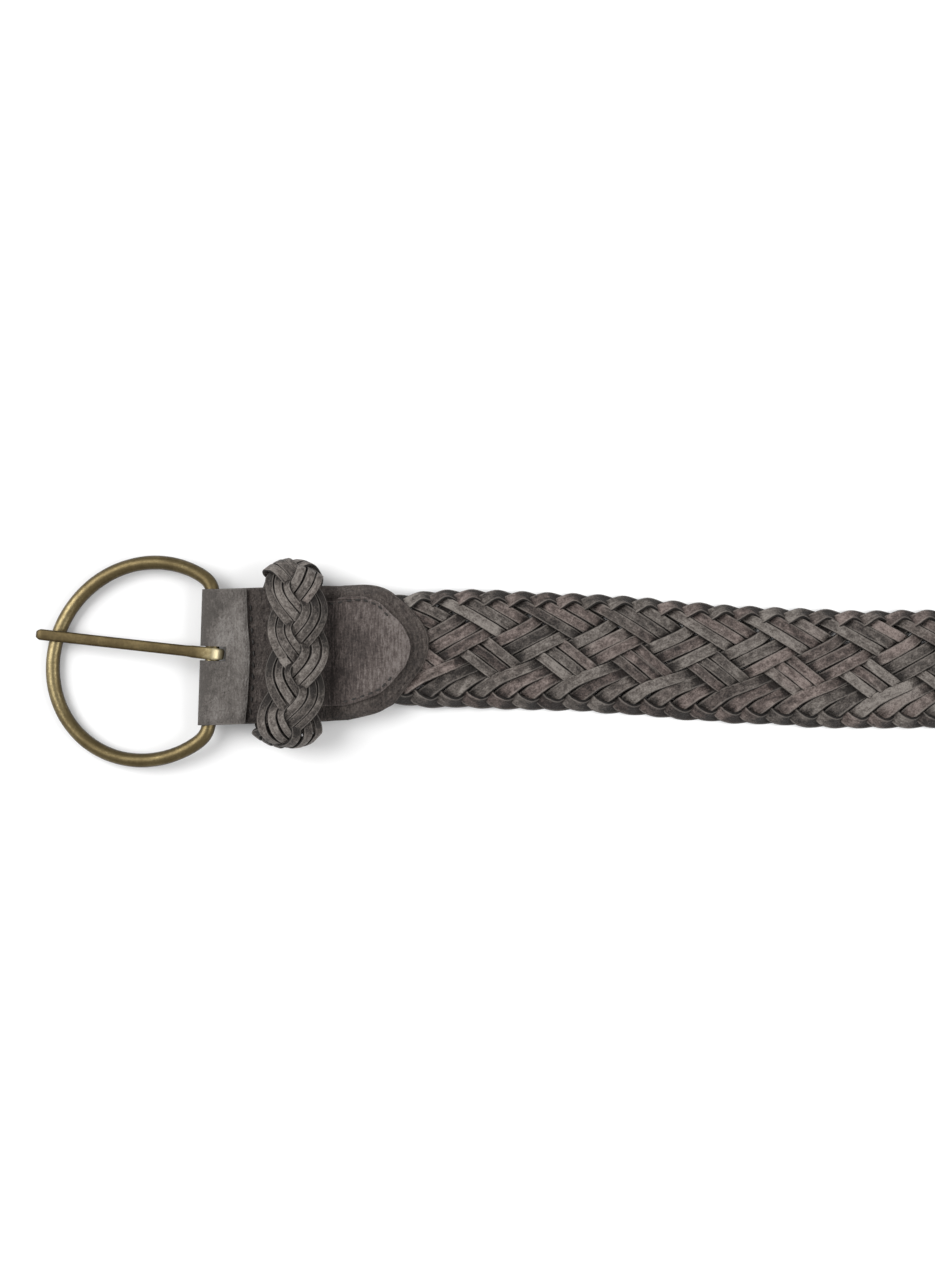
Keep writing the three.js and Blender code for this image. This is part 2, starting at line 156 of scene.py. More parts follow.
def cover_underside(x, y):
    ramp = smooth(x, RAMP_START, RAMP_END)
    flank = 1 - smooth(abs(y), TAB_WIDTH / 2 - FLANK, TAB_WIDTH / 2)
    return strip_underside(x) + STRIP_THICKNESS + GAP + COVER_STEP * ramp * flank


WANDER = Course([(0, 0), (0.044, 0.026), (0.07, 0.068), (0.091, 0.074), (0.12, 0.052), (0.149, 0.026),
                 (0.179, -0.038), (0.208, -0.076), (0.238, -0.102), (0.265, -0.098), (1, -0.098)])


def braid_centre(x):
    return WANDER(x / STRAP_LENGTH) * BRAID_WIDTH


def braid_half_width(x):
    grown = smooth(x, BRAID_START + 10, TAB_LENGTH + 5) - smooth(x, TIP_START - 8, TIP_START)
    return (PRESSED_WIDTH + (BRAID_WIDTH - PRESSED_WIDTH) * grown) / 2


# Making and dressing pieces


def new_shape():
    shape = bmesh.new()
    shape.loops.layers.uv.new("UVMap")
    for name in ("tone", "edge", "warmth"):
        shape.verts.layers.float.new(name)
    return shape


def add_piece(name, shape, material, body=None, replaces=()):
    mesh = bpy.data.meshes.new(name)
    shape.to_mesh(mesh)
    shape.free()
    mesh.materials.append(material)
    mesh.shade_smooth()
    piece = bpy.data.objects.new(name, mesh)
    bpy.context.scene.collection.objects.link(piece)
    if body:
        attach(piece, body)
        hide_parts(*replaces)
    return piece


def section(turn, half_width, half_thickness):
    """A point of a flat strip's rounded section, turn going once round it from 0 to 1."""
    angle = 2 * math.pi * turn
    across = math.copysign(abs(math.cos(angle)) ** 0.42, math.cos(angle))
    up = math.copysign(abs(math.sin(angle)) ** 0.5, math.sin(angle))
    return half_width * across, half_thickness * up


def lay_strip(shape, line, around=12, closed=False, metal=False, round_section=False, warmth=0.5):
    """A strip along a line: each station is (centre, up, roll, half width, half thickness, tone)."""
    count = len(line)
    steps = count if closed else count - 1
    grid = bmesh.ops.create_grid(shape, x_segments=steps, y_segments=around, size=0.5, calc_uvs=True)
    tone = shape.verts.layers.float["tone"]
    edge = shape.verts.layers.float["edge"]
    warm = shape.verts.layers.float["warmth"]
    frames = []
    for i, (centre, up, roll, half_width, half_thickness, shade) in enumerate(line):
        ahead = line[(i + 1) % count][0] if closed or i < count - 1 else centre
        behind = line[i - 1][0] if closed or i > 0 else centre
        forward = (ahead - behind).normalized()
        side = up.cross(forward).normalized()
        normal = forward.cross(side)
        turned_side = side * math.cos(roll) - normal * math.sin(roll)
        turned_normal = normal * math.cos(roll) + side * math.sin(roll)
        frames.append((centre, turned_side, turned_normal, half_width, half_thickness, shade))
    for vert in grid["verts"]:
        i = round((vert.co.x + 0.5) * steps) % count
        turn = vert.co.y + 0.5
        centre, side, normal, half_width, half_thickness, shade = frames[i]
        if round_section:
            across = half_width * math.cos(2 * math.pi * turn)
            up = half_thickness * math.sin(2 * math.pi * turn)
        else:
            across, up = section(turn, half_width, half_thickness)
        # For metal, edge holds how far the surface faces up; the brass lightens the top from it as painted
        # highlight and wear
        vert[edge] = 0.5 + 0.5 * up / half_thickness if metal else abs(across) / half_width
        vert[tone] = shade
        vert[warm] = warmth
        place = centre + side * across + normal * up
        place.z = max(place.z, FLOOR_CLEARANCE)
        vert.co = in_row(place)
    bmesh.ops.remove_doubles(shape, verts=grid["verts"], dist=1e-6)
    if not closed:
        rim = [e for e in shape.edges if e.is_boundary]
        bmesh.ops.holes_fill(shape, edges=rim, sides=around)
    bmesh.ops.recalc_face_normals(shape, faces=shape.faces[:])


# Braid: fifteen laces in five bundles of three, each lace running from edge to edge

LACE_COUNT = 15
BUNDLE_SIZE = 3
LACE_PITCH = 9.144
COURSE_LENGTH = LACE_COUNT * LACE_PITCH
FIRST_TURN = 74.95
BOTTOM_TURN = 0.487
LACE_HALF_THICKNESS = 0.62
LACE_LIFT = 1.15
LACE_STEP = 0.9
# Painted shade: laces are darkened where they lie under other laces
LACE_UNDER_SHADE = 0.85  # how much darker a lace is where it lies under others
TURN_ROLL = math.radians(50)
TURN_SPREAD = 0.045
GATHER = 0.25
UPPER_GATHER = 0.07
SHINGLE_ROLL = math.radians(15)
LACE_COURSE = Course([(0, 0.913), (0.03, 0.86), (0.057, 0.784), (0.195, 0.299), (0.294, -0.074),
                      (0.36, -0.389), (0.42, -0.63), (0.44, -0.765), (0.458, -0.87), (0.487, -0.917),
                      (0.52, -0.868), (0.56, -0.69), (0.6, -0.51), (0.65, -0.37), (0.692, -0.257),
                      (0.794, 0.106), (0.881, 0.416), (0.965, 0.82), (1, 0.913)])
LACE_HALF_WIDTH = Course([(0, 2.42), (0.07, 2.03), (0.21, 2.03), (0.3, 1.96), (0.4, 1.98), (0.487, 2.85),
                          (0.53, 2.85), (0.56, 2.75), (0.6, 2.5), (0.65, 2.2), (0.7, 2.14),
                          (0.78, 2.24), (0.9, 2.26), (0.95, 2.5), (1, 2.42)])


def gather_shift(share, member):
    """Laces of a bundle lie closer together where they pass over the others on their way down."""
    lower = GATHER * smooth(share, 0.2, 0.31) * (1 - smooth(share, 0.37, 0.45))
    upper = UPPER_GATHER * smooth(share, 0.02, 0.08) * (1 - smooth(share, 0.2, 0.25))
    return -LACE_PITCH * (member - 1) * (lower + upper)


def halve(low, high, is_low):
    for _ in range(40):
        middle = (low + high) / 2
        if is_low(middle):
            low = middle
        else:
            high = middle
    return (low + high) / 2


def meeting(member, apart):
    """Where a lace's way down meets the way up of the lace so many pitches before it, as shares of the
    course of each."""

    def rising_share(down):
        aside = LACE_COURSE(down)
        return halve(BOTTOM_TURN, 1.0, lambda up: LACE_COURSE(up) < aside)

    def still_apart(down):
        distance = COURSE_LENGTH * (rising_share(down) - down) - gather_shift(down, member)
        return distance > LACE_PITCH * apart

    down = halve(0.0, BOTTOM_TURN, still_apart)
    return down, rising_share(down)


def falling_lace_is_over(member, apart):
    if apart == LACE_COUNT - 1:
        return False
    if apart == 1:
        return True
    bundles_between = -((member - apart) // BUNDLE_SIZE)
    return bundles_between in (2, 4, 5)


def height_knots(member):
    """Over and under along one course of a lace, as (share, 1 or -1)."""
    knots = []
    for apart in range(1, LACE_COUNT):
        down, _ = meeting(member, apart)
        knots.append((down, 1 if falling_lace_is_over(member, apart) else -1))
        other = (member + apart) % BUNDLE_SIZE
        _, up = meeting(other, apart)
        knots.append((up, -1 if falling_lace_is_over(other, apart) else 1))
    knots.sort()
    return [(knots[-1][0] - 1, knots[-1][1])] + knots + [(knots[0][0] + 1, knots[0][1])]


def height_at(knots, share):
    for (low, below), (high, above) in zip(knots, knots[1:]):
        if low <= share <= high:
            return below + (above - below) * smooth(share, low, high)
    return 0.0


def lace_line(lace, knots, chance):
    member = lace % BUNDLE_SIZE
    start = FIRST_TURN + LACE_PITCH * lace
    phases = [chance.uniform(0, 2 * math.pi) for _ in range(4)]
    base_tone = chance.uniform(0.25, 0.75)
    steps = round((BRAID_END - BRAID_START) / LACE_STEP)
    line = []
    for i in range(steps + 1):
        x = BRAID_START + 0.4 + (BRAID_END - BRAID_START - 0.8) * i / steps
        course = (x - start) / COURSE_LENGTH
        share = course - math.floor(course)
        shift = gather_shift(share, member) * smooth(x, BRAID_START, BRAID_START + 10)
        drift = 0.007 * math.sin(x / 31 + phases[0]) + 0.004 * math.sin(x / 11.3 + phases[1])
        from_top = min(share, 1 - share)
        from_bottom = abs(share - BOTTOM_TURN)
        roll = TURN_ROLL * (bell(from_top, TURN_SPREAD) - bell(from_bottom, TURN_SPREAD))
        roll += SHINGLE_ROLL * smooth(share, 0.53, 0.57) * (1 - smooth(share, 0.68, 0.74))
        roll += math.radians(4) * math.sin(x / 9 + phases[2])
        height = height_at(knots, share)
        thickness = braid_thickness(x) / BRAID_THICKNESS
        across = LACE_COURSE(share) + drift * (1 - bell(from_top, 0.05))
        aside = braid_centre(x) + across * braid_half_width(x)
        up = braid_underside(x) + thickness * (BRAID_THICKNESS / 2 + LACE_LIFT * height)
        width = LACE_HALF_WIDTH(share) * (1 + 0.02 * math.sin(x / 17 + phases[3]))
        # Painted shade: darker where the lace lies under others; also darker where it turns round the braid's
        # lower edge
        under_shade = LACE_UNDER_SHADE * (1 - smooth(height, -0.8, 0.95))
        tone = base_tone + 0.12 * math.sin(x / 43 + phases[1]) - under_shade - 0.22 * bell(from_bottom, 0.06)
        centre = Vector((x + shift, aside, up))
        line.append((centre, Vector((0, 0, 1)), roll, width, LACE_HALF_THICKNESS, tone))
    return line


def plait_strap(material):
    chance = random.Random(15)
    knots = [height_knots(member) for member in range(BUNDLE_SIZE)]
    for bundle in range(LACE_COUNT // BUNDLE_SIZE):
        shape = new_shape()
        for member in range(BUNDLE_SIZE):
            line = lace_line(BUNDLE_SIZE * bundle + member, knots[member], chance)
            lay_strip(shape, line, warmth=chance.random())
        add_piece(f"strap_laces_{bundle + 1}", shape, material, "strap", ["braided_strap"])


# Keeper: three strands of three flat strips plaited round the tab; the strands join into one closed line

KEEPER_TURNS = 10
STRAND_SWING = 6.2
STRAND_LIFT = 0.95
STRAND_ROLL = math.radians(28)
KEEPER_STRIPS = ((-3.25, 1.71), (0.2, 1.65), (3.3, 1.33))  # offset across the strand and half width
KEEPER_START = 2.42
KEEPER_STEPS = 600
KEEPER_SHIFT = -0.6
KEEPER_BOW = 4.2
KEEPER_FLARE = 0.16
KEEPER_CURL = 3.2  # how far its outer strips are drawn in where it goes round the tab's sides


def keeper_path(distance):
    """Middle of the keeper's band and its outward direction, going down the top face from its middle."""
    radius = (KEEPER_HEIGHT - KEEPER_WALL) / 2
    straight = KEEPER_LENGTH - KEEPER_HEIGHT
    length = 2 * straight + 2 * math.pi * radius
    distance = (distance + straight / 2) % length
    middle = KEEPER_HEIGHT / 2
    if distance < straight:
        return Vector((0, straight / 2 - distance, middle + radius)), Vector((0, 0, 1))
    distance -= straight
    if distance < math.pi * radius:
        angle = distance / radius
        out = Vector((0, -math.sin(angle), math.cos(angle)))
        return Vector((0, -straight / 2, middle)) + out * radius, out
    distance -= math.pi * radius
    if distance < straight:
        return Vector((0, distance - straight / 2, middle - radius)), Vector((0, 0, -1))
    angle = (distance - straight) / radius
    out = Vector((0, math.sin(angle), -math.cos(angle)))
    return Vector((0, straight / 2, middle)) + out * radius, out


def keeper_spot(distance, aside, height):
    """A point of the keeper and the way out there. The upper run bows towards the patch, and its lower
    end flares."""
    middle, out = keeper_path(distance)
    upper = max(0.0, 2 * middle.z / KEEPER_HEIGHT - 1)
    bow = KEEPER_BOW * upper * (1 - (2 * middle.y / KEEPER_LENGTH) ** 2)
    flare = 1 + KEEPER_FLARE * smooth(-middle.y, 10, 32)
    curl = KEEPER_CURL * (aside / 10) ** 2 * smooth(abs(out.y), 0.2, 0.9)
    return middle + Vector((KEEPER_SHIFT + bow + aside * flare, 0, 0)) + out * (height - curl), out


def plait_keeper(material):
    radius = (KEEPER_HEIGHT - KEEPER_WALL) / 2
    length = 2 * (KEEPER_LENGTH - KEEPER_HEIGHT) + 2 * math.pi * radius
    period = 3 * length / KEEPER_TURNS
    turn = Matrix.Rotation(-KEEPER_TURN, 3, "Z")
    home = Vector((KEEPER_CENTRE, KEEPER_ASIDE, 0))
    chance = random.Random(7)
    shape = new_shape()
    for offset, half_width in KEEPER_STRIPS:
        line = []
        phase = chance.uniform(0, 2 * math.pi)
        for i in range(KEEPER_STEPS):
            distance = 3 * length * i / KEEPER_STEPS
            swing = 2 * math.pi * (distance - KEEPER_START) / period
            aside = STRAND_SWING * math.sin(swing)
            lean = STRAND_SWING * 2 * math.pi / period * math.cos(swing)
            reach = math.hypot(1, lean)
            _, out = keeper_path(distance)
            roll = STRAND_ROLL * math.sin(swing) ** 3 * (1 - 0.8 * abs(out.y))
            # Painted shade: a strand is darkened where it passes under the other strands
            under_shade = 0.65 * smooth(math.sin(2 * swing), -0.5, 0.9)
            drifted = offset * (1 + 0.06 * math.sin(distance / 13 + phase))
            lift = -STRAND_LIFT * math.sin(2 * swing) - 0.06 * abs(offset)
            ends = []
            for across in (drifted, drifted + 0.4):
                height = lift - across * math.sin(roll)
                place, out = keeper_spot(distance - across * lean / reach, aside + across / reach, height)
                ends.append(place)
            side = (ends[1] - ends[0]).normalized()
            up = (out - side * out.dot(side)).normalized()
            tone = 0.55 + 0.2 * math.sin(distance / 37 + phase) + 0.1 * math.sin(distance / 11 + phase) - under_shade
            line.append((home + turn @ ends[0], turn @ up, 0.0, half_width, 0.6, tone))
        lay_strip(shape, line, closed=True, warmth=chance.random())
    add_piece("keeper_plait", shape, material, "strap", ["keeper_loop"])


# Leather tab: the folded strip, the cover and the patch

TAB_END = [(0.62, 0.486), (0.72, 0.494), (0.782, 0.475), (0.837, 0.432), (0.895, 0.355), (0.953, 0.249),
           (0.989, 0.15), (1.0, 0.031), (0.97, -0.115), (0.897, -0.26), (0.839, -0.376), (0.792, -0.418),
           (0.736, -0.452), (0.62, -0.49)]
PATCH_EDGE = [(0.6, 0.4), (0.688, 0.412), (0.739, 0.395), (0.789, 0.353), (0.832, 0.277), (0.87, 0.216),
              (0.9, 0.133), (0.917, 0.028), (0.896, -0.093), (0.862, -0.162), (0.809, -0.253),
              (0.757, -0.312), (0.654, -0.366), (0.6, -0.386)]
THINNING = 0.45  # share of the leather's thickness gone at a cut edge
FLAP_EDGE = Course([(-24.3, -0.66), (-15.5, 0.0), (0.7, 0.74), (13.3, -0.18), (24.3, -0.56)])


def outline_point(table, share):
    """A point of a rounded end, share going from 0 at its upper side to 1 at its lower side."""
    last = len(table) - 1
    at = min(max(share, 0.0), 1.0) * last
    i = min(int(at), last - 1)
    t = at - i
    near = [Vector(table[min(max(i + k, 0), last)]) for k in (-1, 0, 1, 2)]
    start = (near[2] - near[0]) / 2
    end = (near[3] - near[1]) / 2
    bend = near[1] * (1 + 2 * t) * (1 - t) ** 2 + start * t * (1 - t) ** 2
    bend += near[2] * t * t * (3 - 2 * t) + end * t * t * (t - 1)
    return bend.x * TAB_LENGTH, bend.y * TAB_WIDTH


def tab_to_belt(point):
    return Matrix.Rotation(TAB_TURN, 3, "Z") @ point


def cut_sheet(shape, stations, rows, table, split, spot):
    """A sheet whose rows run from a straight start to a rounded end. A station up to 1 is a share of
    the way from the split to the rounded end, and one above 1 is a place before the split."""
    across = len(rows) - 1
    along = len(stations) - 1
    grid = bmesh.ops.create_grid(shape, x_segments=along, y_segments=across, size=0.5, calc_uvs=True)
    edge = shape.verts.layers.float["edge"]
    tone = shape.verts.layers.float["tone"]
    for vert in grid["verts"]:
        i = round((vert.co.x + 0.5) * along)
        j = round((vert.co.y + 0.5) * across)
        kind, value = stations[i]
        row = rows[j]
        end_x, end_y = outline_point(table, j / across)
        if kind == "share":
            x = split + (end_x - split) * value
            y = row + (end_y - row) * value
            inside = (1 - value) * math.hypot(end_x - split, end_y - row)
        else:
            x = value
            y = row
            inside = TAB_LENGTH
        side = abs(abs(y) - max(abs(rows[0]), abs(rows[-1])))
        inside = min(inside, side) if x < 0.8 * TAB_LENGTH else inside
        inside = min(inside, FLAP_END - x) if kind == "flap" else inside
        vert[edge] = 1 - smooth(inside, 0, 1.6)
        place, vert[tone] = spot(kind, value, x, y, inside)
        vert.co = in_row(tab_to_belt(place))
    return grid["verts"]


def soften(piece, thickness, bevel):
    """Leather thickness, thinned towards the cut edges."""
    thinned = piece.vertex_groups.new(name="thinned")
    for i, item in enumerate(piece.data.attributes["edge"].data):
        thinned.add([i], 1 - THINNING * item.value, "REPLACE")
    solid = piece.modifiers.new("Leather thickness", "SOLIDIFY")
    solid.vertex_group = "thinned"
    solid.thickness = thickness / 1000
    solid.offset = 0
    round_off = piece.modifiers.new("Soft edges", "BEVEL")
    round_off.width = bevel / 1000
    round_off.segments = 3
    round_off.limit_method = "ANGLE"
    round_off.angle_limit = math.radians(50)
    return piece


def even(low, high, count):
    return [low + (high - low) * i / count for i in range(count + 1)]


FLAP_STEPS = 9
SLOT_STEPS = 6
BEND_STEPS = 22
ROWS_ABOVE_SLOT = 24
SLOT_ROWS = 8
ROWS_BELOW_SLOT = 28


def fold_chape(material):
    lean = math.tan(BAR_SKEW + TAB_TURN)
    middle_radius = WIRE_RADIUS + 0.25 + STRIP_THICKNESS / 2
    flap_height = strip_underside(KEEPER_LEFT) + STRIP_THICKNESS * 1.5 + COVER_THICKNESS + 2 * GAP
    stations = [("flap", x) for x in even(FLAP_END, SLOT_END, FLAP_STEPS)]
    stations += [("flap", x) for x in even(SLOT_END, 0, SLOT_STEPS)[1:-1]]
    stations += [("arc", turn) for turn in even(90, 270, BEND_STEPS)]
    stations += [("leaf", x) for x in even(0, SLOT_END, SLOT_STEPS)[1:]]
    stations += [("leaf", x) for x in even(SLOT_END, 40, 24)[1:]]
    stations += [("share", share) for share in even(0, 1, 26)[1:]]
    top = PRONG_ASIDE + SLOT_HALF
    bottom = PRONG_ASIDE - SLOT_HALF
    rows = even(TAB_WIDTH / 2, top, ROWS_ABOVE_SLOT) + even(top, bottom, SLOT_ROWS)[1:]
    rows += even(bottom, -TAB_WIDTH / 2, ROWS_BELOW_SLOT)[1:]

    def spot(kind, value, x, y, inside):
        if kind == "arc":
            turn = math.radians(value)
            x = middle_radius * math.cos(turn)
            z = BAR_Z + middle_radius * math.sin(turn)
        elif kind == "flap":
            fall = min(x / FLAP_FLAT, 1)
            z = BAR_Z + middle_radius + (flap_height - BAR_Z - middle_radius) * fall
            z -= THINNING * STRIP_THICKNESS / 2 * smooth(x, FLAP_END - 1.6, FLAP_END)
            x += FLAP_EDGE(y) * smooth(x, FLAP_FLAT, FLAP_END)
        else:
            z = strip_underside(x) + STRIP_THICKNESS / 2
        near_slot = 1 - smooth(abs(y - PRONG_ASIDE), SLOT_HALF, 4 * SLOT_HALF)
        y -= x * lean * near_slot * (1 - smooth(x, SLOT_END, 3 * SLOT_END))
        # Painted shade over the fold round the bar; also darker towards the tab's long sides
        tone = 0.56 - 0.75 * (1 - smooth(x, -3.6, 3.4)) - 0.12 * smooth(abs(y), 20, 24)
        x += y * lean * (1 - smooth(x, 0, KEEPER_CENTRE))
        return Vector((x, y, z)), tone

    shape = new_shape()
    cut_sheet(shape, stations, rows, TAB_END, 40, spot)
    slot_end = FLAP_STEPS + 2 * SLOT_STEPS + BEND_STEPS
    along = len(stations) - 1
    across = len(rows) - 1
    uv = shape.loops.layers.uv.active
    gone = []
    for face in shape.faces:
        u = sum(loop[uv].uv.x for loop in face.loops) / 4 * along
        v = sum(loop[uv].uv.y for loop in face.loops) / 4 * across
        if FLAP_STEPS < u < slot_end and ROWS_ABOVE_SLOT < v < ROWS_ABOVE_SLOT + SLOT_ROWS:
            gone.append(face)
    bmesh.ops.delete(shape, geom=gone, context="FACES")
    piece = add_piece("chape", shape, material, "strap", ["chape_fold"])
    soften(piece, STRIP_THICKNESS, 0.4)


def cut_cover(material):
    stations = [("leaf", x) for x in even(COVER_START, 40, 26)]
    stations += [("share", 1 - (1 - share) ** 1.4) for share in even(0, 1, 60)[1:]]
    rows = even(TAB_WIDTH / 2, -TAB_WIDTH / 2, 76)

    def spot(kind, value, x, y, inside):
        z = cover_underside(x, y) + COVER_THICKNESS / 2
        round_end = smooth(x, 52, 62)
        turn = math.atan2(y, x - 52)
        drift = 0.5 * math.sin(4.3 * turn) + 0.25 * math.sin(11 * turn + 1)
        creases = 0.34 * bell(inside - 1.9 - drift, 0.42) * (0.75 + 0.25 * math.sin(7 * turn))
        creases += 0.34 * bell(inside - 3.6 - 0.7 * drift, 0.5) * (0.75 + 0.25 * math.sin(4 * turn + 2))
        creases += 0.25 * bell(inside - 5.2 - drift, 0.45)
        z -= creases * round_end
        z -= 0.35 * (1 - smooth(inside, 0, 1.6))
        # Painted shade in the creases of the rounded end; also darker towards the lower side, slightly
        # lighter towards the end
        tone = 0.39 + 0.03 * smooth(x, 30, 60) - 0.1 * smooth(-y, 15, 24) - 0.6 * creases * round_end
        return Vector((x, y, z)), tone

    shape = new_shape()
    cut_sheet(shape, stations, rows, TAB_END, 40, spot)
    piece = add_piece("cover", shape, material, "strap", ["end_cover"])
    soften(piece, COVER_THICKNESS - 0.1, 0.45)


def sew_patch(material):
    stations = [("leaf", x) for x in even(PATCH_START, 40, 4)]
    stations += [("share", 1 - (1 - share) ** 1.4) for share in even(0, 1, 50)[1:]]
    rows = even(PATCH_TOP, PATCH_BOTTOM, 64)

    def spot(kind, value, x, y, inside):
        z = cover_underside(x, y) + COVER_THICKNESS + GAP + PATCH_THICKNESS / 2
        z -= 0.25 * (1 - smooth(inside, 0, 1.4)) + 0.15 * bell(inside - 1.5, 0.6)
        # Painted shadow of the keeper: the patch is dark next to the keeper and lighter towards its rounded
        # end
        tone = 0.2 + 0.62 * smooth(x, 42, 74)
        return Vector((x, y, z)), tone

    shape = new_shape()
    cut_sheet(shape, stations, rows, PATCH_EDGE, 40, spot)
    piece = add_piece("patch", shape, material, "strap", ["end_patch"])
    soften(piece, PATCH_THICKNESS, 0.35)


# Buckle


def ring_point(angle):
    turn = angle - RING_TURN
    oval = RING_LONG * RING_SHORT / math.hypot(RING_SHORT * math.cos(turn), RING_LONG * math.sin(turn))
    flat = RING_CENTRE_TO_BAR / math.cos(angle) if math.cos(angle) > 1e-6 else math.inf
    power = RING_CORNER_SHARPNESS
    reach = (oval ** -power + flat ** -power) ** (-1 / power)
    along = reach * math.cos(angle) - RING_CENTRE_TO_BAR
    across = reach * math.sin(angle) + RING_CENTRE_ASIDE
    return Vector((along, across, 0))


def buckle_place():
    turn = Matrix.Rotation(-BAR_SKEW, 4, "Z") @ Matrix.Rotation(BUCKLE_SLOPE, 4, "Y")
    return Matrix.Translation((0, 0, BAR_Z)) @ turn


def bend_ring(material):
    place = buckle_place()
    up = place.to_3x3() @ Vector((0, 0, 1))
    count = 300
    line = []
    for i in range(count):
        angle = 2 * math.pi * i / count
        centre = place @ ring_point(angle)
        # Painted highlight: the ring is lighter at its left side and where it meets the bar, darker at the
        # top and bottom
        tone = 0.3 + 0.18 * math.cos(angle) ** 4
        radius = WIRE_RADIUS * (1 + 0.006 * math.sin(i / 5.0) + 0.004 * math.sin(i / 2.3))
        line.append((centre, up, 0.0, radius, radius, tone))
    shape = new_shape()
    lay_strip(shape, line, around=28, closed=True, metal=True, round_section=True)
    add_piece("ring", shape, material, "frame", ["buckle_frame"])


# The prong's eye, curled round the bar: its middle's distance and half thickness at each angle in degrees
EYE_RADIUS = Course([(-190, 3.47), (-20, 3.47), (0, 3.52), (15, 3.62), (30, 3.76),
                     (45, 3.9), (60, 3.98), (90, 4.0)])
EYE_HALF_WIDTH = Course([(-190, 2.1), (-30, 1.95), (0, 1.75), (20, 1.8), (45, 2.08), (70, 2.2), (90, 2.2)])
EYE_HALF_THICKNESS = Course([(-190, 0.7), (0, 0.7), (15, 0.73), (30, 0.79),
                             (45, 0.89), (60, 1.0), (90, 1.16)])


def forge_prong(material):
    aside = Matrix.Translation((0, PRONG_ASIDE, 0)) @ Matrix.Rotation(-PRONG_SKEW, 4, "Z")
    place = buckle_place() @ aside
    turn = place.to_3x3()
    line = []
    for x in even(-PRONG_REACH + 0.2, -0.6, 90):
        from_tip = x + PRONG_REACH
        tip = min(1.0, (0.35 + 0.65 * math.sqrt(min(from_tip / 1.6, 1))))
        half = (1.98 + 0.22 * smooth(x, -9, -6)) * tip
        height = 4.0 + 0.03 * math.sin(x / 4) * (1 - smooth(x, -6, -2))
        # Painted highlight: the bar lightens over its last few millimetres towards the eye
        tone = 0.08 + 0.54 * smooth(x, -6, 0)
        line.append((Vector((x, 0, height)), Vector((0, 0, 1)), 0.0, half, 1.16 * tip, tone))
    for angle in even(90, -190, 56):
        radius = EYE_RADIUS(angle)
        out = Vector((math.cos(math.radians(angle)), 0, math.sin(math.radians(angle))))
        # Painted highlight: the eye is much lighter from just past its top round the curl
        tone = 0.62 + 0.75 * smooth(angle, 90, 65)
        line.append((out * radius, out, 0.0, EYE_HALF_WIDTH(angle), EYE_HALF_THICKNESS(angle), tone))
    shape = new_shape()
    placed = [(place @ spot, turn @ up, *rest) for spot, up, *rest in line]
    lay_strip(shape, placed, around=20, metal=True)
    add_piece("tongue", shape, material, "prong", ["buckle_prong"])


# Stitches


def add_stitch(shape, middle, along, normal, length, half_width):
    side = normal.cross(along).normalized()
    straight = side.cross(normal).normalized()
    axes = Matrix((straight * length / 2, side * half_width, normal * half_width * 0.8)).transposed()
    place = Matrix.Translation(in_row(middle)) @ (axes * 0.001).to_4x4()
    bmesh.ops.create_icosphere(shape, subdivisions=2, radius=1, matrix=place)


def walk(table, start, pitch, count):
    """Points an even distance apart along a rounded outline, with the direction there."""
    found = []
    share = start
    last = Vector(outline_point(table, share))
    gone = pitch
    while len(found) < count and share < 1:
        here = Vector(outline_point(table, share))
        gone += (here - last).length
        if gone >= pitch:
            ahead = Vector(outline_point(table, share + 0.01))
            found.append((here, (ahead - here).normalized()))
            gone = 0.0
        last = here
        share += 0.0005
    return found


def sew_stitches(material):
    chance = random.Random(3)
    shape = new_shape()
    for y in even(17.2, -19.8, 9):
        x = FLAP_END + FLAP_EDGE(y) + y * 0.033 + 1.3
        z = cover_underside(x, y) + COVER_THICKNESS + 0.1
        along = Vector((chance.uniform(-0.15, 0.15), 1, 0))
        add_stitch(shape, tab_to_belt(Vector((x, y, z))), tab_to_belt(along), Vector((0, 0, 1)), 2.2, 0.45)
    stitched = [(Vector((x, PATCH_TOP)), Vector((1, 0))) for x in (40.6, 43.7)]
    stitched += walk(PATCH_EDGE, 0.0, 3.2, 7) + walk(PATCH_EDGE, 0.74, 3.1, 8)
    for edge, along in stitched:
        spot = edge + Vector((along.y, -along.x)) * 1.3
        z = cover_underside(spot.x, spot.y) + COVER_THICKNESS + GAP + PATCH_THICKNESS - 0.05
        turn = Matrix.Rotation(chance.uniform(-0.12, 0.12), 3, "Z")
        middle = tab_to_belt(Vector((spot.x, spot.y, z)))
        add_stitch(shape, middle, tab_to_belt(turn @ along.to_3d()), Vector((0, 0, 1)), 1.9, 0.42)
    add_piece("stitches", shape, material, "strap")


# Materials


